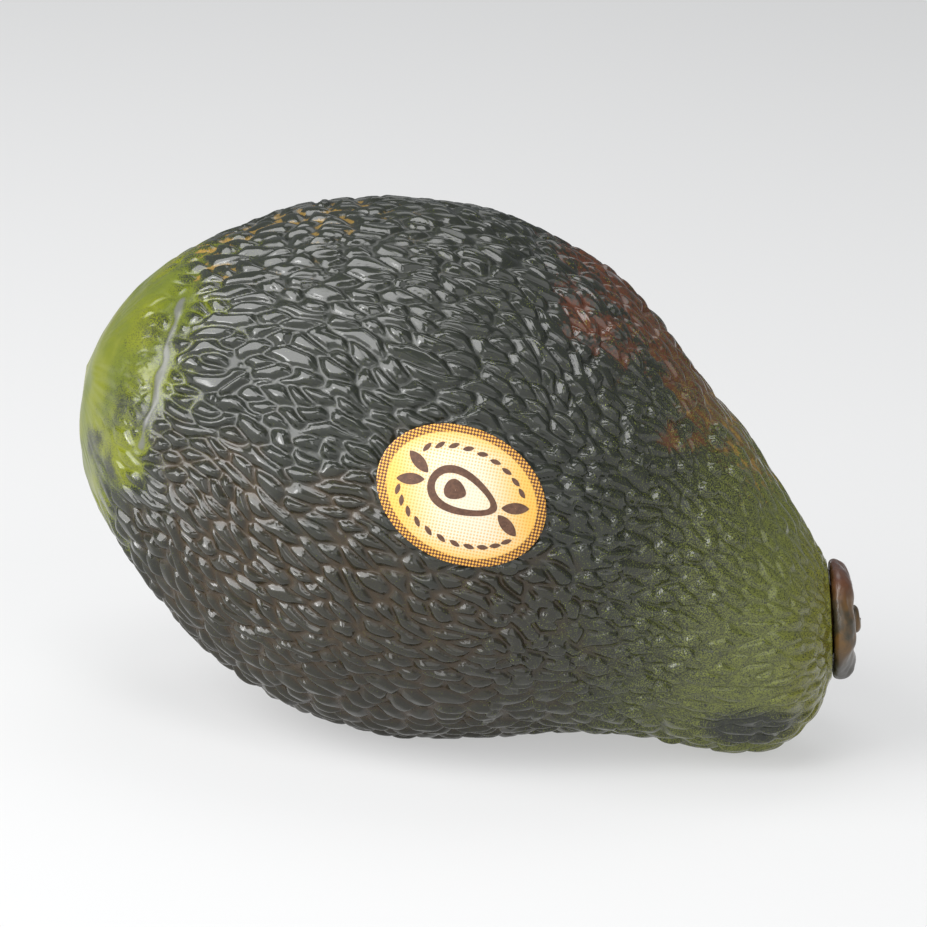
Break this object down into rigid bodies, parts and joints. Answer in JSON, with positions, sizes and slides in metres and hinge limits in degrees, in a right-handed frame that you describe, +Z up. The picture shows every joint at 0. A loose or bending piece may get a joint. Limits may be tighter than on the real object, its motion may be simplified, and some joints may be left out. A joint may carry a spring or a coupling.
{
  "type": "avocado-shaped shaker",
  "caption": "Hand shaker moulded as a pebbly-skinned avocado lying on its side: a hollow shell closed by a lumpy stem plug, with an oval fruit label and loose shot inside.",
  "frame": {"origin": "on the plane that the shaker rests on, under the middle of its bounding box", "axes": "+Z up; +X from the blossom end towards the stem end; the label faces -Y"},
  "size_m": [0.1074, 0.0726, 0.0715],
  "materials": {
    "shell": "gloss, yellow-green plastic airbrushed dark grey-green with maroon and orange-brown patches, moulded in small grooved lumps",
    "stem_plug": "gloss, dark olive brown",
    "label": "satin coated paper, printed in orange halftone dots with a dark dotted border",
    "shot": "dull tumbled steel"
  },
  "bodies": {
    "root": {"shell": "shell", "stem_plug": "stem_plug", "label": "label", "shot_01": "shot", "shot_02": "shot", "shot_03": "shot", "shot_04": "shot", "shot_05": "shot", "shot_06": "shot", "shot_07": "shot", "shot_08": "shot", "shot_09": "shot", "shot_10": "shot", "shot_11": "shot", "shot_12": "shot", "shot_13": "shot", "shot_14": "shot", "shot_15": "shot", "shot_16": "shot", "shot_17": "shot", "shot_18": "shot", "shot_19": "shot", "shot_20": "shot", "shot_21": "shot", "shot_22": "shot", "shot_23": "shot", "shot_24": "shot", "shot_25": "shot", "shot_26": "shot", "shot_27": "shot", "shot_28": "shot", "shot_29": "shot", "shot_30": "shot", "shot_31": "shot", "shot_32": "shot", "shot_33": "shot", "shot_34": "shot", "shot_35": "shot", "shot_36": "shot", "shot_37": "shot", "shot_38": "shot", "shot_39": "shot", "shot_40": "shot"}
  },
  "joints": []
}
